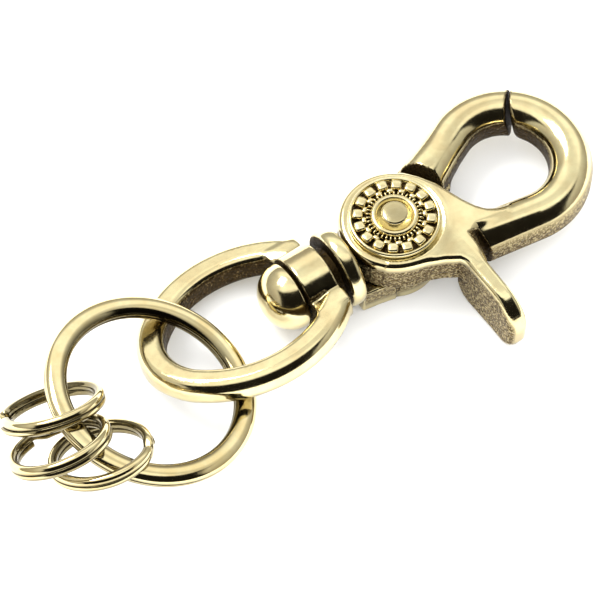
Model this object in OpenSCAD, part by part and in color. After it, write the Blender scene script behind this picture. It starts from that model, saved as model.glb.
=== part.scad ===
// Trigger-clasp key holder in cast brass.
// X runs along the swivel axis towards the hook, Z is up, and Z = 0 is the surface it lies on.
// The origin is the foot of the trigger's pivot axis.

/* [Clasp] */
// Height of the swivel axis and of the hook's mid-plane above the rest face
axis_z = 6.2; // [6.0:0.1:6.6]
// Radius of the lever's round hub
hub_r = 8.1; // [7.8:0.1:8.1]
// Height of the hub's top face
hub_top = 10.9; // [10.4:0.1:11.4]
// Distance from the pivot to the middle of the hook's hole
hook_x = 20.8; // [20:0.1:21.5]
// Distance of that hole's middle from the swivel axis, towards the fixed jaw
hook_y = 0.8; // [0:0.1:1]
// Radius of the hook's centre line
hook_r = 9.5; // [9:0.1:10]
// Radius of the hook's bar
bar_r = 3.2; // [2.8:0.1:3.4]
// Angle on the hook where the two jaws meet
gap_angle = 50; // [45:1:60]
// Width of the slit between the two jaws
jaw_gap = 0.6; // [0.4:0.1:1]

/* [Thumb tab] */
// Thickness of the thumb tab
tab_t = 2.6; // [2:0.1:3]
// Distance from the swivel axis to the tab's tip
tab_reach = 22.8; // [20:0.2:24]

/* [Pivot] */
// Thickness of the swivel body's plate under the hub
plate_t = 4.8; // [4:0.1:5]
// Radius of the plate under the hub
plate_r = 6.9; // [6:0.1:7.2]
// Radius of the rivet that the lever turns on
rivet_r = 2.5; // [2:0.1:2.8]
// Radius of the ornamental cap under the rivet's head
cap_r = 6.7; // [6:0.1:7]

/* [Swivel] */
// Radius of the collar
collar_r = 6.1; // [5.8:0.1:6.1]
// Radius of the swivel pin's shank
pin_r = 2.2; // [1.8:0.1:2.6]
// Radius of the swivel pin's domed head
dome_r = 5; // [4:0.1:5.4]
// Angle that the eye lies at, with its near side raised
eye_roll = 16; // [0:1:20]

/* [Rings] */
// Outside radius of the key ring
ring_r = 15.15; // [14.8:0.05:15.3]
// Outside radius of a small split ring
small_r = 7.35; // [7:0.05:7.5]

/* [Hidden] */
$fn = 64;

brass = [0.78, 0.68, 0.42];
aged_brass = [0.62, 0.52, 0.31];
dark_brass = [0.45, 0.37, 0.22];

run_gap = 0.05;        // radial clearance of a part that turns on a pin
hub_z = plate_t + 0.3; // underside of the lever's hub
spring_r = 3.5;        // centre-line radius of the trigger's spring
spring_wire_r = 0.32;  // radius of its wire

// Points along an arc of radius r about [x, y], from angle a0 to a1 in n steps
function arc(x, y, r, a0, a1, n = 12) =
  [for (i = [0:n]) let (a = a0 + (a1 - a0) * i / n) [x + r * cos(a), y + r * sin(a)]];

// A disc of radius r from z0 to z1 with its top edge rounded by f
module soft_disc(r, z0, z1, f) {
  rotate_extrude()
    polygon(concat([[0, z0], [r, z0]], arc(r - f, z1 - f, f, 0, 90, 6), [[0, z1]]));
}

// ---- Hook ----

// A stretch of the hook's round bar, from angle a0 to a1 about the hook's middle
module hook_bar(a0, a1) {
  translate([hook_x, hook_y, axis_z]) rotate([0, 0, a0])
    rotate_extrude(angle = a1 - a0) translate([hook_r, 0]) circle(r = bar_r, $fn = 48);
}

// A straight round bar in the hook's mid-plane, from p towards angle a, ending with radius r
module straight_bar(p, a, length, r) {
  translate([p[0], p[1], axis_z]) rotate([0, 90, a]) cylinder(r1 = bar_r, r2 = r, h = length);
}

// A ball that blends the curved bar into the straight one at p, where the curve ends at angle a
module bend_ball(p, a) {
  translate([p[0], p[1], axis_z]) rotate([0, 90, a + 90]) sphere(r = bar_r + 0.1);
}

// ---- Lever ----

web_edge = [[-5.6, -5.8], [-1.5, -8.3], [2.5, -10.2], [4.4, -11.8]];
throat = [[5.2, 6.2], [7.4, 4.1], [8.8, 2.1], [9.8, -0.4], [10.3, -1.8]];

// The flat that joins the hub, the hook's lower arm and the thumb tab, and the thicker root of the arm
module lever_web() {
  flat_end = [[10.6, -2.6], [10.6, -8.4], [8.6, -10.2], [7.1, -13]];
  arm_root = [[9.6, -3], [10.9, -1.8], [12.2, -3.9], [14.5, -5.4], [14.5, -8.8], [9.6, -8.8]];
  translate([0, 0, hub_z]) linear_extrude(hub_top - 0.9 - hub_z)
    polygon(concat(
      [[0, 0]], [for (i = [0:4]) throat[i]], flat_end, [for (i = [3:-1:0]) web_edge[i]]
    ));
  translate([0, 0, axis_z - 0.8 * bar_r]) linear_extrude(1.6 * bar_r) polygon(arm_root);
}

// The thumb tab's side view, with its long edge along -Y
module tab_side() {
  tip_r = 5.2;
  heel_r = 2.5;
  top = hub_top - 0.5;
  foot = 0.2;
  root_y = 10;
  root_r = 3.2;
  polygon(concat(
    [[8, hub_z], [8, top]],
    arc(tab_reach - tip_r, top - tip_r, tip_r, 90, 0, 8),
    arc(tab_reach - 0.8 - heel_r, foot + heel_r, heel_r, 0, -90, 6),
    arc(root_y + root_r, foot + root_r, root_r, -90, -180, 6)
  ));
}

module thumb_tab() {
  translate([4.5 + tab_t, 0, 0]) rotate([90, 0, -90]) linear_extrude(tab_t) tab_side();
}

module hook_lever() {
  lower_angle = 261;
  pocket_r = 4.3;
  pocket_h = 2.4;
  start = [hook_x + hook_r * cos(lower_angle), hook_y + hook_r * sin(lower_angle)];
  color(brass) difference() {
    union() {
      soft_disc(hub_r, hub_z, hub_top, 0.9);
      lever_web();
      hook_bar(lower_angle - 360, gap_angle - 2);
      bend_ball(start, lower_angle);
      straight_bar(start, lower_angle - 90, 10.8, 0.98 * bar_r);
      thumb_tab();
    }
    // Bore for the rivet, and the pocket that hides the spring
    cylinder(r = rivet_r + run_gap, h = 20);
    translate([0, 0, hub_z - 1]) cylinder(r = pocket_r, h = pocket_h + 1);
    // Window that the spring's upper leg stands in
    translate([0, 0, hub_z - 1]) rotate([0, 0, 62])
      rotate_extrude(angle = 56) translate([pocket_r - 0.5, 0]) square([1.8, pocket_h + 1]);
  }
}

// ---- Swivel body with the fixed jaw ----

collar_x0 = -10.9;
collar_x1 = -8.4;
boss_x = -12.1;
pin_end = -9;          // far end of the swivel pin, inside the collar

// A disc about the swivel axis from x0 to x1 with both edges rounded by f
module swivel_disc(r, x0, x1, f) {
  translate([x0, 0, axis_z]) rotate([0, 90, 0]) rotate_extrude()
    polygon(concat([[0, 0]], arc(r - f, f, f, -90, 0, 6), arc(r - f, x1 - x0 - f, f, 0, 90, 6),
                   [[0, x1 - x0]]));
}

// The plate under the hub, its neck to the collar and its foot under the fixed jaw
module body_plate() {
  neck = [[-8.6, 5], [-8.6, -5], [-4, -5.6], [-4, 5.6]];
  foot = [[2, 6.2], [6.5, 9.1], [9.4, 9.8], [11.9, 8], [12.6, 4.8], [11.4, 2.8], [6.6, 1.2]];
  difference() {
    linear_extrude(plate_t) {
      circle(r = plate_r);
      polygon(neck);
      polygon(foot);
    }
    // The foot steps up outside the hub, so its low corners are taken off
    translate([0, 0, -1]) linear_extrude(2.6) polygon([[7.6, 10], [7.6, 0], [14, 0], [14, 10]]);
  }
}

// The fixed jaw: a straight root that thickens towards the plate, then the hook's round bar
module fixed_jaw() {
  root_angle = 116;
  root = [hook_x + hook_r * cos(root_angle), hook_y + hook_r * sin(root_angle)];
  hook_bar(gap_angle + 2, root_angle);
  bend_ball(root, root_angle);
  straight_bar(root, root_angle + 90, 8, 1.1 * bar_r);
  translate([0, 0, 2.5]) linear_extrude(2.9)
    polygon([[8.2, 8.8], [12, 9.7], [14, 7.6], [12.9, 4.4], [9.6, 3.6]]);
}

module gate_body() {
  color(brass) difference() {
    union() {
      swivel_disc(collar_r, collar_x0, collar_x1, 0.7);
      swivel_disc(3.8, boss_x, collar_x0 + 1, 0.2);
      body_plate();
      fixed_jaw();
    }
    // Bore for the rivet, and the recess for its tail and washer
    translate([0, 0, -1]) cylinder(r = rivet_r + 0.02, h = 10);
    translate([0, 0, -1]) cylinder(r = 4.42, h = 2.42);
    // Hole for the spring's lower leg
    translate([0, -spring_r, plate_t - 2.5]) cylinder(r = spring_wire_r + 0.04, h = 3, $fn = 16);
    // Bore that the swivel pin is pressed into
    translate([boss_x - 1, 0, axis_z]) rotate([0, 90, 0]) cylinder(r = pin_r + 0.02, h = pin_end - boss_x + 1.05);
  }
}

// ---- Pivot ----

// A coil spring of closed turns around the rivet, with one leg down in the plate and one leg out
module trigger_spring() {
  pitch = 0.6;
  bottom = plate_t + spring_wire_r + 0.05;
  color(aged_brass) {
    for (i = [0:2])
      translate([0, 0, bottom + i * pitch])
        rotate_extrude() translate([spring_r, 0]) circle(r = spring_wire_r, $fn = 16);
    translate([0, spring_r, bottom + 2 * pitch]) rotate([-90, 0, 0])
      cylinder(r = spring_wire_r, h = 1.4, $fn = 16);
    translate([0, -spring_r, bottom - 2.2]) cylinder(r = spring_wire_r, h = 2.2, $fn = 16);
  }
}

// The rivet: a tail, a shank and a round head on top of the ornamental cap
module rivet_post() {
  head_z = hub_top + 1.25;
  color(brass) {
    cylinder(r = rivet_r, h = head_z + 0.1);
    cylinder(r1 = 3.6, r2 = rivet_r, h = 0.5);
    translate([0, 0, head_z]) soft_disc(1.95, 0, 0.75, 0.5);
  }
}

module rivet_washer() {
  color(aged_brass) difference() {
    translate([0, 0, 0.52]) cylinder(r = 4.3, h = 0.8);
    cylinder(r = rivet_r + 0.02, h = 3);
  }
}

// The ornamental cap: a dish with a rim, sixteen beads, sixteen small teeth and a raised ring
module concho_cap() {
  beads = 16;
  base = hub_top + 0.04;
  color(brass) difference() {
    translate([0, 0, base]) {
      rotate_extrude() polygon([
        [0, 0], [cap_r, 0], [cap_r, 0.55], [cap_r - 0.25, 0.8], [cap_r - 0.6, 0.55],
        [3.55, 0.55], [3.4, 1.15], [2.9, 1.3], [2.45, 1.15], [2.4, 1], [0, 1]
      ]);
      for (i = [0:beads - 1]) rotate([0, 0, i * 360 / beads]) {
        translate([5.35, 0, 0.3]) cylinder(r = 0.72, h = 0.85, $fn = 16);
        rotate([0, 0, 180 / beads]) translate([4.1, 0, 0.3]) cylinder(r = 0.42, h = 0.75, $fn = 16);
      }
    }
    cylinder(r = rivet_r + 0.02, h = 20);
  }
}

// ---- Swivel ----

// The pin that joins the eye to the collar, with a domed head inside the eye
module swivel_pin() {
  head_x = -17.45;
  dome_h = 4.4;
  color(brass) {
    translate([head_x - 0.5, 0, axis_z]) rotate([0, 90, 0]) cylinder(r = pin_r, h = pin_end - head_x + 0.5);
    translate([head_x, 0, axis_z]) rotate([0, -90, 0]) rotate_extrude()
      polygon(concat(
        [[0, 0], [dome_r, 0]],
        [for (a = [0:10:90]) [dome_r * cos(a), 0.7 + dome_h * sin(a)]]
      ));
  }
}

eye_mid_x = -25.5;   // middle of the oval
nose_r = 8.9;        // centre-line radius of its ends
flank_r = 16.6;      // centre-line radius of its sides
nose_in = 5.45;      // how far in from the oval's middle the end arcs are centred
flank_out = 5.47;    // how far across the middle the side arcs are centred
eye_x1 = -12.3;      // flat end towards the collar
block_x0 = -17.3;    // inner face of the crossbar
eye_h = 4.4;         // height of the eye's bar
eye_w = 4.1;         // width of the eye's bar

// The bar's section, with rounded corners
module eye_section(r) {
  f = 1.5;
  x = eye_w / 2;
  y = eye_h / 2;
  translate([r, 0]) polygon(concat(
    arc(x - f, y - f, f, 0, 90, 5), arc(f - x, y - f, f, 90, 180, 5),
    arc(f - x, f - y, f, 180, 270, 5), arc(x - f, f - y, f, 270, 360, 5)
  ));
}

// An arc of the bar about [x, y] from angle a0 to a1
module eye_arc(x, y, r, a0, a1) {
  translate([x, y, 0]) rotate([0, 0, a0]) rotate_extrude(angle = a1 - a0) eye_section(r);
}

module swivel_eye() {
  color(brass) translate([0, 0, axis_z]) rotate([-eye_roll, 0, 0]) difference() {
    union() {
      eye_arc(eye_mid_x - nose_in, 0, nose_r, 134.8, 225.2);
      difference() {
        union() {
          eye_arc(eye_mid_x, -flank_out, flank_r, 45, 135.2);
          eye_arc(eye_mid_x, flank_out, flank_r, 224.8, 315);
          eye_arc(eye_mid_x + nose_in, 0, nose_r, -45.2, 45.2);
        }
        translate([eye_x1, -20, -10]) cube([20, 40, 20]);
      }
      // Crossbar that the pin runs through, with its rounded saddle
      translate([block_x0, 0, 0]) rotate([0, 90, 0]) cylinder(r = 5.5, h = eye_x1 - block_x0);
      translate([block_x0, -7.2, -1.9]) cube([eye_x1 - block_x0, 14.4, 3.8]);
    }
    translate([block_x0 - 1, 0, 0]) rotate([0, 90, 0]) cylinder(r = pin_r + run_gap, h = 10);
  }
}

// ---- Rings ----

// One turn's outline on the side that up gives (1 or -1): width w, thickness t, flat where the turns
// meet, widest at height belly * t and domed beyond it
function turn_outline(w, t, up, belly) =
  let (h = belly * t, f = 0.9 * h)
    [for (q = concat(arc(w / 2 - f, f, f, -90, 0, 4), [for (a = [0:15:180]) [w / 2 * cos(a), h + (t - h) * sin(a)]],
                     arc(f - w / 2, f, f, -180, -90, 4)))
      [q[0], up * q[1]]];

// A split ring of two such turns, with a cut in each for its wire end
module split_ring(r, w, t, cut, belly) {
  difference() {
    for (up = [-1, 1])
      rotate_extrude() translate([r - w / 2, 0]) polygon(turn_outline(w, t, up, belly));
    rotate([0, 0, cut]) translate([r - w - 1, -0.2, 0]) cube([w + 2, 0.4, t + 1]);
    rotate([0, 0, cut + 40]) translate([r - w - 1, -0.2, -t - 1]) cube([w + 2, 0.4, t + 1]);
  }
}

// Puts a ring's middle at p and tips its axis from +Z by tilt degrees towards heading
module place_ring(p, tilt, heading) {
  translate(p) rotate([0, tilt, heading]) children();
}

key_ring_at = [-43.27, -3.53, 9.51];
key_ring_tilt = 19.2;
key_ring_heading = -16.9;
key_belly = 0.22;
small_w = 1.4;
small_t = 1.06;
small_belly = 0.4;

module key_ring() {
  color(aged_brass) place_ring(key_ring_at, key_ring_tilt, key_ring_heading)
    split_ring(ring_r, 3.1, 1.31, 60, key_belly);
}

module small_ring_1() {
  color(aged_brass) place_ring([-56.52, 0.26, 11.96], 44.3, 77.9)
    split_ring(small_r, small_w, small_t, 80, small_belly);
}

module small_ring_2() {
  color(aged_brass) place_ring([-59.1, -6.27, 14.24], 40.7, 86.3)
    split_ring(small_r, small_w, small_t, 60, small_belly);
}

module small_ring_3() {
  color(aged_brass) place_ring([-54.68, -9.19, 11.73], 31.1, 78.7)
    split_ring(small_r, small_w, small_t, -108, small_belly);
}

hook_lever();
gate_body();
trigger_spring();
rivet_post();
concho_cap();
rivet_washer();
swivel_pin();
swivel_eye();
key_ring();
small_ring_1();
small_ring_2();
small_ring_3();
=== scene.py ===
import math

import bpy
import numpy as np
from mathutils import Matrix, Vector


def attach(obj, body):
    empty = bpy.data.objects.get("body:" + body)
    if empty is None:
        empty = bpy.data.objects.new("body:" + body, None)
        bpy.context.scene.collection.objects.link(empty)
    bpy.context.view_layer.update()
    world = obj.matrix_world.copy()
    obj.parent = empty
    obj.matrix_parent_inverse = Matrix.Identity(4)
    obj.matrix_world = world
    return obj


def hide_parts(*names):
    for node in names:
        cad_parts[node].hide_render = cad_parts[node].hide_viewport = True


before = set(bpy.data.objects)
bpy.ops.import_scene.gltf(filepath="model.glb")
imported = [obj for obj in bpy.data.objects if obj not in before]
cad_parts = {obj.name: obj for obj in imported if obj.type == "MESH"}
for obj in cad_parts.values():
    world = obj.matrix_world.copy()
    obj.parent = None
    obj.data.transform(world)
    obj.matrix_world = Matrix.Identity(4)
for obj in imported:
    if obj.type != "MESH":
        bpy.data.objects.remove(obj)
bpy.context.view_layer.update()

MM = 0.001

# Heights and places of the part, in mm, in the shared frame. The rivet stands on the origin.
AXIS_Z = 6.2                              # the swivel's axis, and the hook's middle height
HUB_R, HUB_Z0, HUB_Z1 = 8.1, 5.1, 10.9
HOOK = np.array([20.8, 0.8, AXIS_Z])      # middle of the hook's round end
HOOK_R, BAR_R = 9.5, 3.2
COLLAR_X, COLLAR_HALF = -9.65, 1.25
PLATE_TOP = 4.8
SADDLE_X, SADDLE_HALF = -14.8, 2.45       # the eye's crossbar, which the pin goes through
PIN_X = -17.45                            # where the pin's dome meets the saddle
EYE_X = -25.5                             # middle of the eye's oval
EYE_ROLL = math.radians(16)
CAP_Z = HUB_Z1 + 0.04                     # underside of the rosette cap
CELL = 0.3                                # cell size of the castings' meshes


# ---------------------------------------------------------------- distance fields

def smin(a, b, k):
    """Union of two fields with a fillet of about k."""
    h = np.clip(0.5 + 0.5 * (b - a) / k, 0, 1)
    return b * (1 - h) + a * h - k * h * (1 - h)


def smax(a, b, k):
    """Intersection of two fields, rounded by about k."""
    return -smin(-a, -b, k)


def smooth(x, lo, hi):
    """0 below lo, 1 above hi, with a soft step between."""
    t = np.clip((x - lo) / (hi - lo), 0, 1)
    return t * t * (3 - 2 * t)


def rot_z(p, deg):
    a = math.radians(deg)
    c, s = math.cos(a), math.sin(a)
    return np.stack([p[:, 0] * c + p[:, 1] * s, -p[:, 0] * s + p[:, 1] * c, p[:, 2]], 1)


def poly(x, y, pts):
    """Signed distance to a closed outline in the plane."""
    pts = np.asarray(pts, float)
    d = np.full(x.shape, 1e9)
    inside = np.zeros(x.shape, bool)
    j = len(pts) - 1
    for i in range(len(pts)):
        ax, ay = pts[j]
        bx, by = pts[i]
        ex, ey = bx - ax, by - ay
        wx, wy = x - ax, y - ay
        t = np.clip((wx * ex + wy * ey) / (ex * ex + ey * ey), 0, 1)
        d = np.minimum(d, (wx - ex * t) ** 2 + (wy - ey * t) ** 2)
        inside ^= ((ay > y) != (by > y)) & (x < (bx - ax) * (y - ay) / (by - ay + 1e-12) + ax)
        j = i
    return np.where(inside, -1, 1) * np.sqrt(d)


def rounded_pair(u, w, r):
    """Meets two half-spaces with an outside rounding of radius r."""
    u, w = u + r, w + r
    return np.minimum(np.maximum(u, w), 0) + np.hypot(np.maximum(u, 0), np.maximum(w, 0)) - r


def slab(d2, z, z0, z1, top, bottom):
    """A plan outline d2 between two heights, with rounded upper and lower edges."""
    up = rounded_pair(d2, z - z1, top)
    down = rounded_pair(d2, z0 - z, bottom)
    return np.where(z > (z0 + z1) / 2, up, down)


def bar_section(u, w, r, square):
    """Round above, straighter-sided below, as a cast bar is."""
    up = np.hypot(u, w) - r
    rc = r * (1 - square)
    a, b = np.abs(u) - (r - rc), np.abs(w) - (r - rc)
    down = np.minimum(np.maximum(a, b), 0) + np.hypot(np.maximum(a, 0), np.maximum(b, 0)) - rc
    return np.where(w >= 0, up, down)


def arc_path(p, c, radius, a0, a1):
    """Distance in plan from an arc about c, between two angles."""
    q = rot_z(p - c, (a0 + a1) / 2)
    half = math.radians((a1 - a0) / 2)
    ang = np.clip(np.arctan2(q[:, 1], q[:, 0]), -half, half)
    near = np.stack([radius * np.cos(ang), radius * np.sin(ang)], 1)
    return np.hypot(q[:, 0] - near[:, 0], q[:, 1] - near[:, 1])


def line_path(p, a, b):
    """Distance across in plan, and how far along from a to b (0 to 1)."""
    ex, ey = b[0] - a[0], b[1] - a[1]
    t = np.clip(((p[:, 0] - a[0]) * ex + (p[:, 1] - a[1]) * ey) / (ex * ex + ey * ey), 0, 1)
    return np.hypot(p[:, 0] - a[0] - ex * t, p[:, 1] - a[1] - ey * t), t


def half_plane(p, point, deg):
    """Positive on the side that direction deg points to, from a vertical plane through point."""
    a = math.radians(deg)
    return (p[:, 0] - point[0]) * math.cos(a) + (p[:, 1] - point[1]) * math.sin(a)


def cyl_z(p, r):
    """Signed distance in plan to a circle about the rivet's axis."""
    return np.hypot(p[:, 0], p[:, 1]) - r


# ---------------------------------------------------------------- meshes

def gradient(f, p, e=0.01):
    g = np.empty_like(p)
    for k in range(3):
        d = np.zeros(3)
        d[k] = e
        g[:, k] = (f(p + d) - f(p - d)) / (2 * e)
    return g


def surface(f, lo, hi, h=CELL):
    """The zero surface of f as quads whose corners lie on it, with its exact normals."""
    lo, hi = np.asarray(lo, float), np.asarray(hi, float)
    # Coarse blocks show where the surface can be, and only those are sampled at every corner
    block = 4
    nb = np.ceil((hi - lo) / (h * block)).astype(int)
    n = nb * block + 1
    ax = [lo[k] + h * np.arange(n[k]) for k in range(3)]
    mids = [lo[k] + h * block * (np.arange(nb[k]) + 0.5) for k in range(3)]
    c = np.stack(np.meshgrid(*mids, indexing="ij"), -1).reshape(-1, 3)
    fc = f(c).reshape(nb)
    near = np.abs(fc) < h * block * 0.87 * 1.6 + 0.3
    val = np.ones(n)
    for k in range(3):
        fc = np.repeat(fc, block, axis=k)
    val[:-1, :-1, :-1] = np.where(fc < 0, -9.0, 9.0)
    need = np.zeros(n, bool)
    nr = near
    for k in range(3):
        nr = np.repeat(nr, block, axis=k)
    for i in (0, 1):
        for j in (0, 1):
            for k in (0, 1):
                need[i:n[0] - 1 + i, j:n[1] - 1 + j, k:n[2] - 1 + k] |= nr
    ids = np.argwhere(need)
    pts = lo + ids * h
    out = np.empty(len(pts))
    for s in range(0, len(pts), 200000):
        out[s:s + 200000] = f(pts[s:s + 200000])
    val[tuple(ids.T)] = out
    # One point in each cell that the surface crosses, amid the crossings of the cell's edges
    neg = val < 0
    corners = [(i, j, k) for i in (0, 1) for j in (0, 1) for k in (0, 1)]
    m = n - 1
    count = np.zeros(m, int)
    for i, j, k in corners:
        count += neg[i:m[0] + i, j:m[1] + j, k:m[2] + k]
    cells = np.argwhere((count > 0) & (count < 8))
    index = np.full(m, -1)
    index[tuple(cells.T)] = np.arange(len(cells))
    total = np.zeros((len(cells), 3))
    hits = np.zeros(len(cells))
    for a in corners:
        for k in range(3):
            if a[k]:
                continue
            b = list(a)
            b[k] = 1
            va = val[tuple((cells + a).T)]
            vb = val[tuple((cells + b).T)]
            cut = (va < 0) != (vb < 0)
            t = np.where(cut, va / np.where(cut, va - vb, 1), 0)
            at = cells + np.asarray(a, float)
            at[:, k] += t
            total[cut] += at[cut]
            hits[cut] += 1
    verts = lo + h * total / hits[:, None]
    # One quad round each grid edge that the surface crosses
    quads = []
    for k in range(3):
        u, v = (k + 1) % 3, (k + 2) % 3
        sl0 = [slice(None)] * 3
        sl1 = [slice(None)] * 3
        sl0[k], sl1[k] = slice(0, -1), slice(1, None)
        cut = neg[tuple(sl0)] != neg[tuple(sl1)]
        e = np.argwhere(cut)
        e = e[(e[:, u] > 0) & (e[:, v] > 0) & (e[:, u] < m[u]) & (e[:, v] < m[v])]
        du, dv = np.zeros(3, int), np.zeros(3, int)
        du[u], dv[v] = 1, 1
        q = np.stack([index[tuple((e - du - dv).T)], index[tuple((e - dv).T)],
                      index[tuple(e.T)], index[tuple((e - du).T)]], 1)
        flip = ~neg[tuple(e.T)]
        q[flip] = q[flip][:, ::-1]
        quads.append(q[(q >= 0).all(1)])
    quads = np.concatenate(quads)

    def project(p, limit):
        """Moves points to the surface, by at most limit."""
        g = gradient(f, p)
        step = -f(p)[:, None] * g / np.maximum((g * g).sum(1), 1e-6)[:, None]
        size = np.linalg.norm(step, axis=1)
        return p + step * np.minimum(1, limit / np.maximum(size, 1e-9))[:, None]

    # Onto the surface, then evened out along it
    for _ in range(2):
        verts = project(verts, 0.5 * h)
    for _ in range(3):
        acc = np.zeros_like(verts)
        cnt = np.zeros(len(verts))
        for a, b in ((0, 1), (1, 2), (2, 3), (3, 0)):
            np.add.at(acc, quads[:, a], verts[quads[:, b]])
            np.add.at(acc, quads[:, b], verts[quads[:, a]])
            np.add.at(cnt, quads[:, a], 1)
            np.add.at(cnt, quads[:, b], 1)
        verts = project(verts + 0.5 * (acc / cnt[:, None] - verts), 0.5 * h)
    verts = project(verts, 0.3 * h)
    g = gradient(f, verts, 0.02)
    return verts, quads, g / np.maximum(np.linalg.norm(g, axis=1), 1e-9)[:, None]


def cavity(f, p, n):
    """0 on open surfaces, towards 1 in tight corners: an occlusion measure, whose darkening is partly patina in the
    hollows and partly painted shade.
    """
    s = np.zeros(len(p))
    for d, w in ((0.5, 0.25), (1.1, 0.35), (2.2, 0.4)):
        s += w * np.clip(1 - f(p + n * d) / d, 0, 1)
    return np.clip(s, 0, 1)


def make(name, verts, faces, material, body, slot, nodes, normals=None, patina_and_shade=None):
    """A smooth mesh from mm, with a patina and painted shade value at each vertex, on its body and in place of CAD
    nodes.
    """
    me = bpy.data.meshes.new(name)
    me.from_pydata((np.asarray(verts) * MM).tolist(), [], [list(map(int, q)) for q in faces])
    me.update()
    me.shade_smooth()
    if normals is not None:
        me.normals_split_custom_set_from_vertices(normals.tolist())
    att = me.attributes.new("patina_and_shade", "FLOAT", "POINT")
    att.data.foreach_set("value", (np.zeros(len(verts)) if patina_and_shade is None else patina_and_shade).astype(np.float32))
    ob = bpy.data.objects.new(name, me)
    bpy.context.scene.collection.objects.link(ob)
    me.materials.append(material)
    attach(ob, body)
    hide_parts(*nodes)


def cast(name, f, lo, hi, shade, *rest):
    """A casting: the mesh of field f inside the box lo to hi, with its patina and painted shade from shade."""
    verts, quads, normals = surface(f, lo, hi)
    make(name, verts, quads, *rest, normals=normals, patina_and_shade=np.clip(shade(verts, normals, f), 0, 1))


def lathe(profile, n):
    """Revolves [r, z] points about Z; r = 0 makes a pole."""
    verts, rings, faces = [], [], []
    for r, z in profile:
        if r < 1e-6:
            rings.append([len(verts)] * n)
            verts.append((0, 0, z))
        else:
            rings.append(list(range(len(verts), len(verts) + n)))
            turns = [2 * math.pi * i / n for i in range(n)]
            verts += [(r * math.cos(a), r * math.sin(a), z) for a in turns]
    for a, b in zip(rings, rings[1:]):
        for i in range(n):
            j = (i + 1) % n
            f = []
            for v in (a[i], a[j], b[j], b[i]):
                if v not in f:
                    f.append(v)
            if len(f) > 2:
                faces.append(f)
    return np.array(verts, float), faces


def join(parts):
    verts, faces, off = [], [], 0
    for v, f in parts:
        verts.append(v)
        faces += [[i + off for i in q] for q in f]
        off += len(v)
    return np.concatenate(verts), faces


def bead(radius, angle, cz, sizes, turn, power, n=14, m=8):
    """A rounded block, of half length, half width and height sizes, that stands on cz at a radius and angle."""
    cx, cy = radius * math.cos(angle), radius * math.sin(angle)
    sx, sy, sz = sizes

    def k(t):
        return math.copysign(abs(t) ** power, t)

    verts, faces = [], []
    for j in range(m + 1):
        b = math.pi / 2 * j / m
        for i in range(n):
            a = 2 * math.pi * i / n
            cb, sb = math.cos(b), math.sin(b)
            x, y, z = sx * k(cb) * k(math.cos(a)), sy * k(cb) * k(math.sin(a)), sz * k(sb)
            verts.append((cx + x * math.cos(turn) - y * math.sin(turn),
                          cy + x * math.sin(turn) + y * math.cos(turn), cz + z))
    for j in range(m):
        for i in range(n):
            k2 = (i + 1) % n
            faces.append([j * n + i, j * n + k2, (j + 1) * n + k2, (j + 1) * n + i])
    faces.append([i for i in range(n)][::-1])
    faces.append([m * n + i for i in range(n)])
    return np.array(verts), faces


def sweep(path, up, section):
    """Sweeps a closed section [across, up] along a path, with an upward direction for each of its points."""
    tan = np.gradient(path, axis=0)
    tan /= np.linalg.norm(tan, axis=1)[:, None]
    side = np.cross(tan, up)
    side /= np.linalg.norm(side, axis=1)[:, None]
    up = np.cross(side, tan)
    n = len(section)
    verts = (path[:, None] + side[:, None] * section[None, :, :1] + up[:, None] * section[None, :, 1:]).reshape(-1, 3)
    faces = []
    for i in range(len(path) - 1):
        for k in range(n):
            k2 = (k + 1) % n
            faces.append([i * n + k, i * n + k2, (i + 1) * n + k2, (i + 1) * n + k])
    faces.append([k for k in range(n)][::-1])
    faces.append([(len(path) - 1) * n + k for k in range(n)])
    return verts, faces


# ---------------------------------------------------------------- materials

def nodes_of(name):
    """A new node material, with what is needed to fill it in."""
    mat = bpy.data.materials.new(name)
    mat.use_nodes = True
    nt = mat.node_tree
    return mat, nt, nt.nodes, nt.links, nt.nodes["Principled BSDF"]


def noise(nt, vec, scale, detail=4.0, rough=0.6):
    n = nt.nodes.new("ShaderNodeTexNoise")
    n.inputs["Scale"].default_value = scale
    n.inputs["Detail"].default_value = detail
    n.inputs["Roughness"].default_value = rough
    nt.links.new(vec, n.inputs["Vector"])
    return n.outputs["Fac"]


def ramp(nt, fac, stops):
    r = nt.nodes.new("ShaderNodeValToRGB")
    while len(r.color_ramp.elements) < len(stops):
        r.color_ramp.elements.new(0.5)
    for e, (pos, col) in zip(r.color_ramp.elements, stops):
        e.position = pos
        e.color = (*col, 1)
    nt.links.new(fac, r.inputs["Fac"])
    return r.outputs["Color"]


def remap(nt, x, a, b, c, d):
    """Takes x from the range a to b to the range c to d, held to its ends."""
    r = nt.nodes.new("ShaderNodeMapRange")
    nt.links.new(x, r.inputs["Value"])
    for k, v in zip(("From Min", "From Max", "To Min", "To Max"), (a, b, c, d)):
        r.inputs[k].default_value = v
    return r.outputs["Result"]


def math_node(nt, op, a, b):
    n = nt.nodes.new("ShaderNodeMath")
    n.operation = op
    for s, v in zip(n.inputs, (a, b)):
        if isinstance(v, (int, float)):
            s.default_value = v
        else:
            nt.links.new(v, s)
    return n.outputs[0]


def mix(nt, fac, a, b):
    m = nt.nodes.new("ShaderNodeMix")
    m.data_type = "RGBA"
    nt.links.new(fac, m.inputs[0])
    for s, v in ((m.inputs[6], a), (m.inputs[7], b)):
        if isinstance(v, tuple):
            s.default_value = (*v, 1)
        else:
            nt.links.new(v, s)
    return m.outputs[2]


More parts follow.
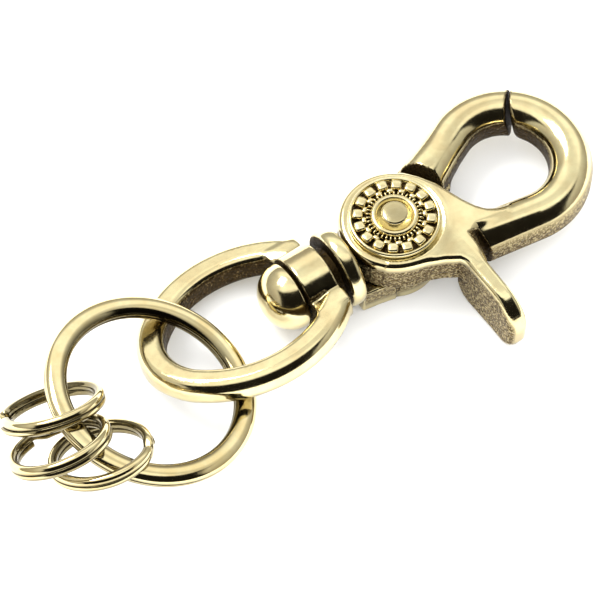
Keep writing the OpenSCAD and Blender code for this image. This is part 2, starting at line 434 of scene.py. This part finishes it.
def brass(name, bright, warm, dark, rough, wear, fine=1.0, shade_and_stain_scale=0.34):
    """Polished brass, clouded between bright and warm, with what the mesh's patina and painted shade value marks.

    Up to a value of about 0.3 the metal is only darkened, by stains and by painted shade. Above it the metal is dark
    and pitted, as patina and as painted shade.
    """
    mat, nt, nodes, links, bsdf = nodes_of(name)
    obj = nodes.new("ShaderNodeTexCoord").outputs["Object"]
    att = nodes.new("ShaderNodeAttribute")
    att.attribute_name = "patina_and_shade"
    cloud = noise(nt, obj, 260, 3)
    grain = noise(nt, obj, 3000, 5, 0.65)
    pits = nodes.new("ShaderNodeTexVoronoi")
    pits.inputs["Scale"].default_value = 1500
    links.new(obj, pits.inputs["Vector"])
    rag = math_node(nt, "MULTIPLY", math_node(nt, "SUBTRACT", grain, 0.5), 0.55)
    mask = remap(nt, math_node(nt, "ADD", att.outputs["Fac"], rag), 0.32, 0.62, 0, 1)
    polished = mix(nt, remap(nt, cloud, 0.35, 0.65, 0, 1), bright, warm)
    # Values up to about 0.28 darken towards this tone: stains, and painted shade on faces that look down and in the
    # rings' grooves and inner sides
    shade_and_stain_tone = tuple(shade_and_stain_scale * c for c in warm)
    polished = mix(nt, remap(nt, att.outputs["Fac"], 0.0, 0.28, 0, 0.88), polished, shade_and_stain_tone)
    # Above 0.6 the grain shifts darker, so the ramp goes to black: painted shade in the slit, on the jaw's root and
    # on the collar's end faces, and the deepest patina
    grain_darkened_for_shade_and_patina = math_node(nt, "SUBTRACT", grain, remap(nt, att.outputs["Fac"], 0.6, 1.0, 0, 0.22))
    shade_and_patina = ramp(nt, grain_darkened_for_shade_and_patina, [(0.38, dark), (0.47, tuple(3 * c for c in dark)),
                                (0.55, tuple(0.6 * c for c in warm)), (0.66, tuple(0.85 * c for c in warm))])
    links.new(mix(nt, mask, polished, shade_and_patina), bsdf.inputs["Base Color"])
    shiny = remap(nt, noise(nt, obj, 900, 4), 0.3, 0.7, rough * 0.75, rough * 1.35)
    matte = math_node(nt, "ADD", shiny, math_node(nt, "MULTIPLY", mask, 0.36))
    links.new(matte, bsdf.inputs["Roughness"])
    bsdf.inputs["Metallic"].default_value = 1.0
    deep = nodes.new("ShaderNodeBump")
    deep.inputs["Distance"].default_value = 0.00022
    links.new(math_node(nt, "MULTIPLY", mask, wear), deep.inputs["Strength"])
    links.new(math_node(nt, "ADD", math_node(nt, "MULTIPLY", grain, 0.7),
                        remap(nt, pits.outputs["Distance"], 0.0, 0.55, 0, 0.6)), deep.inputs["Height"])
    soft = nodes.new("ShaderNodeBump")
    soft.inputs["Distance"].default_value = 0.00006 * fine
    soft.inputs["Strength"].default_value = 0.35
    links.new(noise(nt, obj, 420, 5, 0.55), soft.inputs["Height"])
    links.new(deep.outputs["Normal"], soft.inputs["Normal"])
    links.new(soft.outputs["Normal"], bsdf.inputs["Normal"])
    return mat


POLISHED = brass("polished_cast_brass", bright=(0.83, 0.735, 0.42), warm=(0.74, 0.61, 0.33),
                 dark=(0.045, 0.029, 0.011), rough=0.13, wear=0.9)
ROSETTE = brass("rosette_brass", bright=(0.85, 0.755, 0.45), warm=(0.77, 0.65, 0.35),
                dark=(0.035, 0.02, 0.007), rough=0.17, wear=0.8, fine=1.6)
WIRE = brass("drawn_wire_brass", bright=(0.82, 0.72, 0.42), warm=(0.74, 0.60, 0.30),
             dark=(0.06, 0.04, 0.014), rough=0.09, wear=0.5, fine=0.5, shade_and_stain_scale=0.15)
AGED = brass("aged_brass", bright=(0.50, 0.41, 0.22), warm=(0.36, 0.28, 0.14),
             dark=(0.05, 0.035, 0.015), rough=0.34, wear=0.7, fine=2.0)


# ---------------------------------------------------------------- lever: hub, web, thumb tab and hook

def on_hook(deg):
    """The point of the hook's centre line at an angle, in plan."""
    a = math.radians(deg)
    return HOOK[:2] + HOOK_R * np.array([math.cos(a), math.sin(a)])


def hook_inside(p):
    """0 on the outer half of the hook's bar, 1 at its inner edge."""
    return smooth(HOOK_R - np.hypot(p[:, 0] - HOOK[0], p[:, 1] - HOOK[1]), -0.2, 2.6)


# The lever's arm runs straight from the hook's round end to the web
LOWER_ANGLE = 261
ARM_START = on_hook(LOWER_ANGLE)
ARM_END = np.array([8.45, -6.86])
ARM_FACET = math.radians(36)
# The hook's two halves meet in a leaning slit, wider at its outer end
LEVER_END, JAW_TIP, SPLAY, SLIT_LEAN = 49.3, 51.9, 3.4, 0.23


def towards_hole(p, n):
    """1 on the hook's walls that face the middle of its hole."""
    x, y = HOOK[0] - p[:, 0], HOOK[1] - p[:, 1]
    return smooth((x * n[:, 0] + y * n[:, 1]) / np.hypot(x, y), 0.25, 0.7) * (np.hypot(x, y) < 12.5)


def lever_cut(p):
    """Positive beyond the lever's end face, which leans over the jaw's."""
    return half_plane(p, on_hook(LEVER_END), LEVER_END + 90 + SPLAY) + SLIT_LEAN * (AXIS_Z - p[:, 2])


def jaw_cut(p):
    """Positive beyond the jaw's end face."""
    return -half_plane(p, on_hook(JAW_TIP), JAW_TIP + 90 - SPLAY) - SLIT_LEAN * (AXIS_Z - p[:, 2])


# Outline of the web between hub, tab and arm, from the hub's near side round to its far side
WEB = [(-5.4, -5.9), (-3.6, -7.0), (-1.2, -8.05), (0.4, -8.65), (2.4, -9.5), (4.2, -10.6), (5.0, -11.8),
       (5.3, -13.2), (7.0, -13.4), (7.7, -12.2), (8.3, -9.6), (8.9, -7.6), (9.8, -7.1), (12.5, -7.3),
       (15.0, -7.6), (15.6, -6.6), (14.4, -6.05), (12.8, -4.95), (11.7, -3.85), (10.7, -2.3), (9.8, -0.45),
       (8.7, 2.1), (7.2, 4.2), (5.4, 6.0), (0.0, 4.0)]


def lever_tab(p):
    """The thumb tab: its outline seen from the side, with a rounded tip, and a thickness that grows outwards."""
    x, y, z = p[:, 0], p[:, 1], p[:, 2]
    out = [(-8.0, 5.2), (-8.0, 10.55), (-12.4, 10.55), (-14.8, 10.42)]
    out += [(-17.1 - 5.6 * math.sin(a), 4.8 + 5.55 * math.cos(a)) for a in np.linspace(0.05, math.pi / 2, 24)]
    out += [(-20.1 - 2.6 * math.cos(a), 2.8 - 2.6 * math.sin(a)) for a in np.linspace(0, math.pi / 2, 12)]
    out += [(-15.8, 0.25), (-12.6, 0.3), (-11.2, 0.65), (-10.2, 1.5), (-9.6, 2.8), (-9.3, 5.2)]
    middle = 5.85 + 0.05 * (-y - 10)
    half = 1.28 + 0.22 * smooth(-y, 16, 22)
    return rounded_pair(poly(y, z, out), np.abs(x - middle) - half, 0.7 + 0.4 * smooth(-y, 15, 20))


def lever_field(p):
    x, y, z = p[:, 0], p[:, 1], p[:, 2]
    hub = slab(cyl_z(p, HUB_R), z, HUB_Z0, HUB_Z1, 0.85, 0.2)
    # The web's top slopes down from the hub to the arm
    drop = 1.5 * smooth(x - 0.25 * y, 6.5, 16.5)
    web = slab(poly(x, y, WEB), z + drop, HUB_Z0 + drop * 1.8, HUB_Z1 - 0.04, 0.9, 0.3)
    ring = bar_section(arc_path(p, HOOK, HOOK_R, LOWER_ANGLE - 360, LEVER_END + 3), z - AXIS_Z, BAR_R, 0.45)
    ring = smax(ring, lever_cut(p), 0.3 + 0.8 * hook_inside(p))
    across, t = line_path(p, ARM_START, ARM_END)
    way = (ARM_END - ARM_START) / np.hypot(*(ARM_END - ARM_START))
    near = (x - ARM_START[0]) * way[1] * -1 + (y - ARM_START[1]) * way[0]
    facet = near * math.sin(ARM_FACET) + (z - AXIS_Z) * math.cos(ARM_FACET) - 3.0 - 0.22 * (1 - t)
    # A shallow recess where the arm leaves the tab
    recess = smooth(9.5 - 0.12 * (y + 7) - x, -0.25, 0.35) * smooth(-7.0 - y, 0, 0.8)
    arm = bar_section(across, z - AXIS_Z + 0.1 * t, BAR_R + 0.1 * t, 0.45) + 0.7 * recess
    hook = np.minimum(ring, smax(arm, facet, 0.2))
    f = smin(hub, web, 0.6)
    f = smin(f, hook, 0.9)
    f = smin(f, lever_tab(p), 0.4)
    # The cap's flat seat
    f = smax(f, z - HUB_Z1 + 0.02 - 0.4 * smooth(np.hypot(x, y), 6.75, 8.2), 0.05)
    # The spring's pocket, the window that its upper leg stands in, and the rivet's bore
    f = smax(f, -slab(cyl_z(p, 4.3), z, 0.0, 7.5, 0.1, 0.1), 0.1)
    half = math.radians(28)
    wedge = np.abs(x) * math.cos(half) - y * math.sin(half)
    f = smax(f, -slab(np.maximum(cyl_z(p, 5.5), wedge), z, 0.0, 7.5, 0.1, 0.1), 0.1)
    return smax(f, -cyl_z(p, 2.56), 0.1)


def underside_shade(n):
    """Painted shade: a smooth brown darkening on faces that look down, below the level at which the patina starts to
    pit.
    """
    return 0.24 * smooth(-n[:, 2], -0.35, 0.35)


def lever_patina_and_shade(p, n, f):
    """Dark corners, hub and tab walls, hook walls and the arm's recess, with painted shade on the end face in the
    slit and on faces that look down.
    """
    x, y, z = p[:, 0], p[:, 1], p[:, 2]
    side = smooth(-n[:, 2], -0.50, -0.12)
    inside = towards_hole(p, n) * smooth(x, 10, 12)
    wall = smooth(0.42 - np.abs(n[:, 2]), 0, 0.25) * (x < 9.3) * smooth(9.7 - z, 0, 0.4)
    wall *= np.where(y < -12, smooth(-n[:, 0], 0.3, 0.7), 1)
    outer = (1 - inside) * smooth(-n[:, 2], -0.62, -0.3) * (x > 9.3) * smooth(-n[:, 1] + 0.6 * n[:, 0], 0.1, 0.7)
    recess = smooth(9.9 - 0.12 * (y + 7) - x, 0, 0.5) * smooth(-7.1 - y, 0, 0.4) * smooth(x - 7.4, 0, 0.4)
    # Painted shade on the lever's end face in the slit, darkened towards black
    cut = smooth(lever_cut(p), -0.3, -0.08) * (y > 3) * (x > 20)
    return (0.95 * cavity(f, p, n) + 0.64 * wall + 0.8 * side * inside + 0.52 * outer + 0.75 * recess + cut
            + underside_shade(n) * (1 - wall))


cast("lever_casting", lever_field, (-9.2, -24, -0.8), (34, 14.6, 12.0), lever_patina_and_shade,
     POLISHED, "lever", "polished_brass", ["hook_lever"])


# ---------------------------------------------------------------- swivel body: collar, plate and fixed jaw

JAW_ANGLE = 116
JAW_START = on_hook(JAW_ANGLE)
JAW_END = np.array([9.45, 5.83])
NECK = [(-8.7, 5.3), (-8.7, -5.3), (-6, -5.7), (-3.6, -6.2), (-3.6, 6.2), (-6, 5.7)]
FOOT = [(0.5, 6.5), (3.4, 7.6), (6.5, 9.2), (9.4, 9.9), (12.0, 8.6), (13.2, 5.8), (12.2, 2.9), (9.5, 1.7),
        (6.2, 1.4), (1, 0)]


def body_field(p):
    x, y, z = p[:, 0], p[:, 1], p[:, 2]
    rad = np.hypot(y, z - AXIS_Z)
    bulge = 0.28 * (1 - ((x - COLLAR_X) / COLLAR_HALF) ** 2)
    collar = rounded_pair(rad - 5.85 - np.clip(bulge, -0.1, 0.3), np.abs(x - COLLAR_X) - COLLAR_HALF, 0.45)
    boss = rounded_pair(rad - 3.8, np.abs(x + 11.2) - 0.9, 0.15)
    plan = smin(smin(cyl_z(p, 6.9), poly(x, y, NECK), 0.5), poly(x, y, FOOT), 0.5)
    plate = slab(plan, z, 0.0, PLATE_TOP, 0.3, 0.45)
    ring = bar_section(arc_path(p, HOOK, HOOK_R, JAW_TIP - 3, JAW_ANGLE), z - AXIS_Z, BAR_R, 0.4)
    ring = smax(ring, jaw_cut(p), 0.3)
    across, t = line_path(p, JAW_START, JAW_END)
    arm = bar_section(across, z - AXIS_Z, BAR_R + 0.35 * smooth(t, 0.2, 1), 0.4)
    # The jaw stops short of the lever's hub
    jaw = smax(np.minimum(ring, arm), -cyl_z(p, 10.65), 0.3)
    f = smin(smin(plate, jaw, 0.9), smin(collar, boss, 0.15), 0.35)
    # The recess for the rivet's tail, the rivet's hole and the pin's bore
    f = smax(f, -slab(cyl_z(p, 4.42), z, -2.0, 1.42, 0.05, 0.05), 0.06)
    f = smax(f, -cyl_z(p, 2.53), 0.06)
    return smax(f, -np.maximum(rad - 2.23, x + 8.9), 0.06)


def body_patina_and_shade(p, n, f):
    """Dark corners, the jaw's inner wall and the plate's edge, with painted shade on the jaw's root and end face, the
    plate's top under the hub, the collar's end faces and faces that look down.
    """
    x, y, z = p[:, 0], p[:, 1], p[:, 2]
    rad = np.hypot(x, y)
    inside = towards_hole(p, n) * smooth(x, 9, 11)
    side = smooth(-n[:, 2], -0.62, -0.25)
    edge = smooth(0.45 - np.abs(n[:, 2]), 0, 0.2) * smooth(z, 1.2, 2.4) * (z < PLATE_TOP + 0.1)
    edge *= (x > -8.3) * (rad > 5.2)
    low = smooth(AXIS_Z + 1.9 - z, 0, 1.0)
    out_r = np.hypot(y, z - AXIS_Z)
    collar = (x < -8.3) & (out_r > 5.2)
    # Painted shade on the plate's top under the lever's hub
    under = smooth(7.6 - rad, 0, 1.0) * (n[:, 2] > 0.5) * (x > -8.4)
    # Painted shade on the jaw's root, which faces the hub
    root = smooth(-(n[:, 0] * x + n[:, 1] * y) / rad, 0.45, 0.8) * smooth(12.4 - rad, 0, 1.0)
    root *= (x > 0) * (z > 4)
    # Painted shade on the jaw's end face in the slit
    cut = smooth(jaw_cut(p), -0.3, -0.08) * (y > 3) * (x > 20)
    # Painted shade on the collar's end faces and on the boss between collar and eye
    faces = smooth(np.abs(n[:, 0]), 0.75, 0.95) * (out_r < 5.7) * (x < -8.2) + (x < -10.9) * (out_r < 4.4)
    out = (0.8 * cavity(f, p, n) + 0.8 * side * low * inside + 0.46 * edge + 0.5 * under + root + cut
           + underside_shade(n))
    return np.where(collar & (faces < 0.5), out * 0.4, out) + 0.9 * faces


cast("body_casting", body_field, (-13.2, -8.0, -0.8), (31, 14.6, 13.4), body_patina_and_shade,
     POLISHED, "clasp", "polished_brass", ["gate_body"])


# ---------------------------------------------------------------- swivel eye

def eye_local(p):
    """Into the eye's own frame: middle plane flat, near side not raised."""
    y, z = p[:, 1], p[:, 2] - AXIS_Z
    c, s = math.cos(EYE_ROLL), math.sin(EYE_ROLL)
    return np.stack([p[:, 0], y * c - z * s, y * s + z * c], 1)


def eye_side(q):
    """Distance from the oval's centre line, negative inside: two ends of radius 8.9, two sides of radius 16.6."""
    ax, ay = np.abs(q[:, 0] - EYE_X), np.abs(q[:, 1])
    nose = np.hypot(ax - 5.45, ay) - 8.9
    flank = np.hypot(ax, ay + 5.47) - 16.6
    return np.where(ay < (ax - 5.45), nose, flank)


def eye_field(p):
    q = eye_local(p)
    x, y, z = q[:, 0], q[:, 1], q[:, 2]
    u = eye_side(q)
    soft = 1.3 + 0.6 * smooth(-y, 0, 5) * smooth(u, 0, 1)
    arms = rounded_pair(np.abs(u) - 2.05, np.abs(z) - 2.2, soft)
    arms = smax(arms, x - (SADDLE_X + SADDLE_HALF), 0.35)
    rad = np.hypot(y, z)
    saddle = rounded_pair(rad - 5.45, np.abs(x - SADDLE_X) - SADDLE_HALF, 0.3)
    bar = rounded_pair(np.abs(y) - 7.6, np.abs(z) - 1.9, 0.5)
    bar = smax(bar, np.abs(x - SADDLE_X) - SADDLE_HALF, 0.3)
    f = smin(smin(arms, bar, 0.8), saddle, 0.28)
    # The pin's bore goes through the crossbar only
    return smax(f, -np.maximum(rad - 2.26, -19 - x), 0.08)


def eye_patina_and_shade(p, n, f):
    """Dark corners and the eye's inner wall, with painted shade on the crossbar's two end faces and on faces that
    look down.
    """
    q = eye_local(p)
    nl = eye_local(n + np.array([0, 0, AXIS_Z]))
    u = eye_side(q)
    inner = smooth(-u, 0.9, 1.7) * smooth(0.62 - nl[:, 2], 0, 0.3)
    # Painted shade on the crossbar's end faces, beside the pin's dome and beside the collar
    face = smooth(-n[:, 0], 0.75, 0.95) * smooth(q[:, 0], -18.5, -16.8) * smooth(6.4 - np.abs(q[:, 1]), 0, 1)
    back = smooth(n[:, 0], 0.75, 0.95) * smooth(q[:, 0], -13.2, -12.6)
    return 0.7 * cavity(f, p, n) + 0.85 * inner + 0.6 * face + 0.9 * back + underside_shade(n)


cast("eye_casting", eye_field, (-43, -14.5, -0.6), (-11.4, 14.5, 13.2), eye_patina_and_shade,
     POLISHED, "eye", "polished_brass", ["swivel_eye"])


# ---------------------------------------------------------------- turned pieces

# The swivel pin, turned to point away from the collar
dome = [(0, -8.4), (2.05, -8.4), (2.2, -8.25), (2.2, 0.0), (4.6, 0.0), (4.9, 0.12), (5.0, 0.45)]
dome += [(5.0 * math.cos(a), 0.75 + 4.35 * math.sin(a)) for a in np.linspace(0.03, math.pi / 2 - 0.02, 26)]
v, f = lathe(dome + [(0, 5.1)], 96)
v = np.stack([PIN_X - v[:, 2], v[:, 1], AXIS_Z + v[:, 0]], 1)
f = [q[::-1] for q in f]
make("pin_dome", v, f, POLISHED, "clasp", "polished_brass", ["swivel_pin"])

head = [(0, 0.0), (3.4, 0.0), (3.5, 0.2), (2.6, 0.5), (2.5, 0.7), (2.5, CAP_Z + 0.95), (1.7, CAP_Z + 1.05),
        (1.75, CAP_Z + 1.35)]
head += [(1.98 - 0.42 * (1 - math.cos(a)), CAP_Z + 1.45 + 0.42 * math.sin(a)) for a in np.linspace(0, 1.45, 8)]
head += [(1.2, CAP_Z + 1.9), (0.6, CAP_Z + 1.93), (0, CAP_Z + 1.94)]
v, f = lathe(head, 64)
stained_top = 0.16 * (v[:, 2] > CAP_Z + 1.8)
make("rivet_button", v, f, ROSETTE, "clasp", "polished_brass", ["rivet_post"], patina_and_shade=stained_top)

v, f = lathe([(2.55, 0.55), (4.2, 0.55), (4.3, 0.62), (4.3, 1.24), (4.2, 1.32), (2.55, 1.32), (2.55, 0.55)], 48)
make("tail_washer", v, f, AGED, "clasp", "aged_brass", ["rivet_washer"])


# ---------------------------------------------------------------- rosette cap

BEADS, TEETH = 16, 38


def rosette():
    """A dish with a raised rim and a raised inner ring, and between them two rows of beads and a row of teeth."""
    base = [(2.56, 0), (6.5, 0), (6.68, 0.12), (6.72, 0.4), (6.62, 0.66), (6.42, 0.78), (6.2, 0.68), (6.08, 0.36),
            (5.9, 0.22), (3.7, 0.22), (3.55, 0.5), (3.47, 1.0), (3.3, 1.26), (3.02, 1.36), (2.74, 1.24),
            (2.6, 0.98), (2.56, 0.9), (2.56, 0)]
    fine = []
    for (r0, z0), (r1, z1) in zip(base, base[1:]):
        fine += [(r0, z0), ((r0 + r1) / 2, (z0 + z1) / 2)]
    parts = [lathe(fine + [base[-1]], 128)]
    for i in range(BEADS):
        a = 2 * math.pi * (i + 0.35) / BEADS
        wob = 0.06 * math.sin(i * 2.7)
        parts.append(bead(5.28, a, 0.15, (0.78, 0.83, 0.9 + wob), a + wob, 0.46))
        a += math.pi / BEADS
        parts.append(bead(4.4, a, 0.15, (0.4, 0.6, 0.6), a, 0.65))
    for i in range(TEETH):
        a = 2 * math.pi * i / TEETH
        parts.append(bead(3.82, a, 0.15, (0.42, 0.17, 0.84), a, 0.6, 10, 5))
    v, f = join(parts)
    r, z = np.hypot(v[:, 0], v[:, 1]), v[:, 2]
    pat = 0.85 * smooth(0.52 - z, 0, 0.3) * (r < 6.15) + 0.35 * smooth(0.9 - z, 0, 0.4) * (r < 4.0) * (r > 3.5)
    return v + np.array([0, 0, CAP_Z]), f, pat


v, f, pat = rosette()
make("rosette_cap", v, f, ROSETTE, "clasp", "polished_brass", ["concho_cap"], patina_and_shade=pat)


# ---------------------------------------------------------------- spring

SPRING_R, SPRING_WIRE_R, SPRING_TURNS, LEG_POINTS = 3.5, 0.3, 2.5, 8


def spring():
    """A lower leg in the plate, two and a half turns, and an upper leg in the lever's window."""
    path = [(0, -SPRING_R, z) for z in np.linspace(2.9, 5.0, LEG_POINTS)]
    start, turned = -math.pi / 2, 2 * math.pi * SPRING_TURNS
    for a in np.linspace(start + 0.2, start + turned, 150):
        path.append((SPRING_R * math.cos(a), SPRING_R * math.sin(a), 5.2 + 1.2 * (a - start) / turned))
    path += [(0.3, y, 6.42) for y in np.linspace(3.9, 4.9, 5)]
    turns = np.linspace(0, 2 * math.pi, 12, endpoint=False)
    section = SPRING_WIRE_R * np.stack([np.cos(turns), np.sin(turns)], 1)
    in_leg = (np.arange(len(path)) < LEG_POINTS)[:, None]
    up = np.where(in_leg, np.array([[0, 1.0, 0]]), np.array([[0, 0, 1.0]]))
    return sweep(np.array(path), up, section)


v, f = spring()
make("spring_wire", v, f, AGED, "clasp", "aged_brass", ["trigger_spring"])


# ---------------------------------------------------------------- split rings

def ring_axes(tilt, heading):
    """Tips a ring about Y, then turns it about Z, both in degrees."""
    return np.array(Matrix.Rotation(math.radians(heading), 3, "Z") @ Matrix.Rotation(math.radians(tilt), 3, "Y"))


def wire_section(w, t, belly, n=48):
    """A half-round wire's outline, [across, up]: flat at the bottom, widest at height belly * t, domed on top."""
    h = belly * t
    pts = []
    for a in np.linspace(0, 2 * math.pi, n, endpoint=False):
        c, s = math.cos(a), math.sin(a)
        # Exponents near 1 make the dome, and smaller ones the squarer underside
        px, py, hs = (0.95, 0.95, t - h) if s > 0 else (0.3, 0.45, h)
        pts.append((w / 2 * math.copysign(abs(c) ** px, c), h - t / 2 + hs * math.copysign(abs(s) ** py, s)))
    return np.array(pts)


def split_ring(pose, r_out, w, t, belly, jog, gap, steps, spread=0.0, inner_shade_from=0.1):
    """One wire of nearly two turns. It steps from the lower turn to the upper one at angle jog, beside its two ends.

    The wire is w wide and t thick, with its widest part at belly of the thickness. Its ends stay gap degrees
    short of the step and stand out by spread. Painted shade darkens its inner side, inwards from the last argument's
    fraction of its half width.
    """
    at, tilt, heading = pose
    half, turn = math.radians(gap), 2 * math.pi
    th = np.linspace(half, 2 * turn - half, steps)
    lift = (smooth(th, turn - half * 0.95, turn + half * 0.95) - 0.5) * t
    ends = np.minimum(th - half, 2 * turn - half - th)
    r = r_out - w / 2 + spread * np.exp(-(ends / 0.5) ** 2)
    ang = th + math.radians(jog)
    path = np.stack([r * np.cos(ang), r * np.sin(ang), lift], 1)
    # The dome faces down on the lower turn and up on the upper one
    top = wire_section(w * 0.995, t * 0.985, belly)
    n = len(top)
    low = (top * np.array([1, -1]))[[(-i) % n for i in range(n)]]
    k = smooth(th, turn - half, turn + half)[:, None, None]
    sec = low[None] * (1 - k) + top[None] * k
    tan = np.gradient(path, axis=0)
    tan /= np.linalg.norm(tan, axis=1)[:, None]
    side = np.stack([np.cos(ang), np.sin(ang), np.zeros(len(ang))], 1)
    up = np.cross(side, tan) * -1
    up *= np.sign(up[:, 2])[:, None]
    v = (path[:, None] + side[:, None] * sec[:, :, :1] + up[:, None] * sec[:, :, 1:]).reshape(-1, 3)
    f = []
    for i in range(len(path) - 1):
        for j in range(n):
            j2 = (j + 1) % n
            f.append([i * n + j, (i + 1) * n + j, (i + 1) * n + j2, i * n + j2])
    f.append([j for j in range(n)])
    f.append([(len(path) - 1) * n + j for j in range(n)][::-1])
    across = np.tile(top[:, 0] / (w / 2), len(path))
    height = np.tile(top[:, 1] / (t / 2), len(path))
    # Painted shade in the groove between the turns, on the lower turn's underside and on the inner side
    shade_and_patina = 0.26 * smooth(-height, -0.1, 0.8) + 0.3 * smooth(-across, inner_shade_from, inner_shade_from + 0.8)
    shade_and_patina += np.where(np.repeat(th < turn, n), 0.28 * smooth(height, 0.0, 0.5), 0)
    return v @ ring_axes(tilt, heading).T + np.array(at), f, np.minimum(shade_and_patina, 0.3)


# Each ring's middle, tilt and heading, and for the small ones the step's angle and the ends' spread
KEY_RING = ((-43.27, -3.53, 9.51), 19.2, -16.9)
SMALL_RINGS = [(((-56.52, 0.26, 11.96), 44.3, 77.9), 80, 0.35),
               (((-59.1, -6.27, 14.24), 40.7, 86.3), 10, 0.1),
               (((-54.68, -9.19, 11.73), 31.1, 78.7), -108, 0.2)]

v, f, shade_and_patina = split_ring(KEY_RING, r_out=15.15, w=3.1, t=1.31, belly=0.22, jog=-3, gap=6, steps=520)
make("key_ring_wire", v, f, WIRE, "large_ring", "wire_brass", ["key_ring"], patina_and_shade=shade_and_patina)
for i, (pose, jog, spread) in enumerate(SMALL_RINGS):
    v, f, shade_and_patina = split_ring(pose, r_out=7.35, w=1.4, t=1.06, belly=0.4, jog=jog, gap=12, steps=300,
                           spread=spread, inner_shade_from=-0.35)
    make("small_ring_wire_%d" % (i + 1), v, f, WIRE, ("first", "second", "third")[i] + "_small_ring", "wire_brass",
         ["small_ring_%d" % (i + 1)], patina_and_shade=shade_and_patina)


# ---------------------------------------------------------------- floor, light and camera

FLOOR_HALF = 3.0
me = bpy.data.meshes.new("floor")
me.from_pydata([(i * FLOOR_HALF, j * FLOOR_HALF, 0) for i, j in ((-1, -1), (1, -1), (1, 1), (-1, 1))],
               [], [(0, 1, 2, 3)])
floor = bpy.data.objects.new("floor", me)
bpy.context.scene.collection.objects.link(floor)
mat, nt, nodes, links, bsdf = nodes_of("pale_floor")
bsdf.inputs["Base Color"].default_value = (0.84, 0.84, 0.83, 1)
bsdf.inputs["Roughness"].default_value = 0.8
bsdf.inputs["Specular IOR Level"].default_value = 0.1
bsdf.inputs["Emission Color"].default_value = (1, 1, 1, 1)
bsdf.inputs["Emission Strength"].default_value = 0.02
me.materials.append(mat)

# The studio: a bright surround, with two brighter panels and a large dark one for the metal to reflect
world = bpy.data.worlds.new("studio")
bpy.context.scene.world = world
world.use_nodes = True
nt = world.node_tree
nt.nodes.clear()
coord = nt.nodes.new("ShaderNodeTexCoord").outputs["Generated"]


def facing(way):
    """How far a ray into the surround points a certain way."""
    d = nt.nodes.new("ShaderNodeVectorMath")
    d.operation = "DOT_PRODUCT"
    nt.links.new(coord, d.inputs[0])
    d.inputs[1].default_value = way
    return d.outputs["Value"]


def direction(azimuth, elevation):
    """A unit vector from its angles in degrees."""
    a, e = math.radians(azimuth), math.radians(elevation)
    return Vector((math.cos(a) * math.cos(e), math.sin(a) * math.cos(e), math.sin(e)))


def panel(azimuth, elevation, half_wide, half_high, soft):
    """1 inside a rectangular patch of the surround, 0 outside it."""
    mid = direction(azimuth, elevation)
    side = direction(azimuth + 90, 0)
    out = remap(nt, facing(mid), 0.0, 0.05, 0, 1)
    for axis, half in ((side, half_wide), (mid.cross(side), half_high)):
        off = math_node(nt, "ABSOLUTE", facing(axis), 0)
        edge = math.sin(math.radians(half))
        out = math_node(nt, "MULTIPLY", out, remap(nt, off, edge - soft, edge + soft, 1, 0))
    return out


def background(strength, color=None):
    """An even surround, white unless a colour is linked to it."""
    b = nt.nodes.new("ShaderNodeBackground")
    b.inputs["Color"].default_value = (1, 1, 1, 1)
    b.inputs["Strength"].default_value = strength
    if color is not None:
        nt.links.new(color, b.inputs["Color"])
    return b.outputs[0]


sky = ramp(nt, facing((0, 0, 1)), [(0.0, (0.38, 0.375, 0.36)), (0.3, (0.56, 0.55, 0.53)),
                                   (0.6, (0.80, 0.80, 0.78)), (0.87, (0.92, 0.92, 0.90)), (1.0, (1.2, 1.2, 1.18))])
sky = mix(nt, panel(-107, 86, 40, 9, 0.06), sky, (1.4, 1.4, 1.37))
sky = mix(nt, panel(50, 42, 34, 12, 0.08), sky, (1.35, 1.35, 1.32))
sky = mix(nt, panel(-107, 37, 50, 33, 0.03), sky, (0.012, 0.011, 0.010))
# The metal reflects the surround, the floor is lit evenly, and behind the object all is white
rays = nt.nodes.new("ShaderNodeLightPath").outputs
seen = background(1.0, sky)
for flag, other in (("Is Diffuse Ray", background(2.3)), ("Is Camera Ray", background(1.0))):
    pick = nt.nodes.new("ShaderNodeMixShader")
    nt.links.new(rays[flag], pick.inputs[0])
    nt.links.new(seen, pick.inputs[1])
    nt.links.new(other, pick.inputs[2])
    seen = pick.outputs[0]
nt.links.new(seen, nt.nodes.new("ShaderNodeOutputWorld").inputs[0])

light = bpy.data.lights.new("key_softbox", "AREA")
light.shape = "RECTANGLE"
light.size, light.size_y = 0.34, 0.22
light.energy = 2.3
softbox = bpy.data.objects.new("key_softbox", light)
bpy.context.scene.collection.objects.link(softbox)
place, aim = Vector((-0.12, 0.30, 0.52)), Vector((-0.01, 0, 0.005))
softbox.location = place
softbox.rotation_euler = (place - aim).to_track_quat("Z", "Y").to_euler()

# The camera looks at the middle of the object from azimuth -123.5 degrees, 60.7 degrees above the floor
AIM, DISTANCE = Vector((-17.155, -1.434, 6.115)) * MM, 357.143 * MM
SENSOR_MM, FOCAL_IN_FRAMES = 36, 2500 / 600
right, back = direction(-33.5, 0), direction(-123.5, 60.7)
cam = bpy.data.cameras.new("camera")
cam.sensor_width = SENSOR_MM
cam.lens = SENSOR_MM * FOCAL_IN_FRAMES
cam.clip_start = 0.01
camera = bpy.data.objects.new("camera", cam)
bpy.context.scene.collection.objects.link(camera)
turned = Matrix((right, back.cross(right), back)).transposed().to_4x4()
camera.matrix_world = Matrix.Translation(AIM + back * DISTANCE) @ turned
bpy.context.scene.camera = camera
bpy.context.scene.view_settings.view_transform = "Standard"
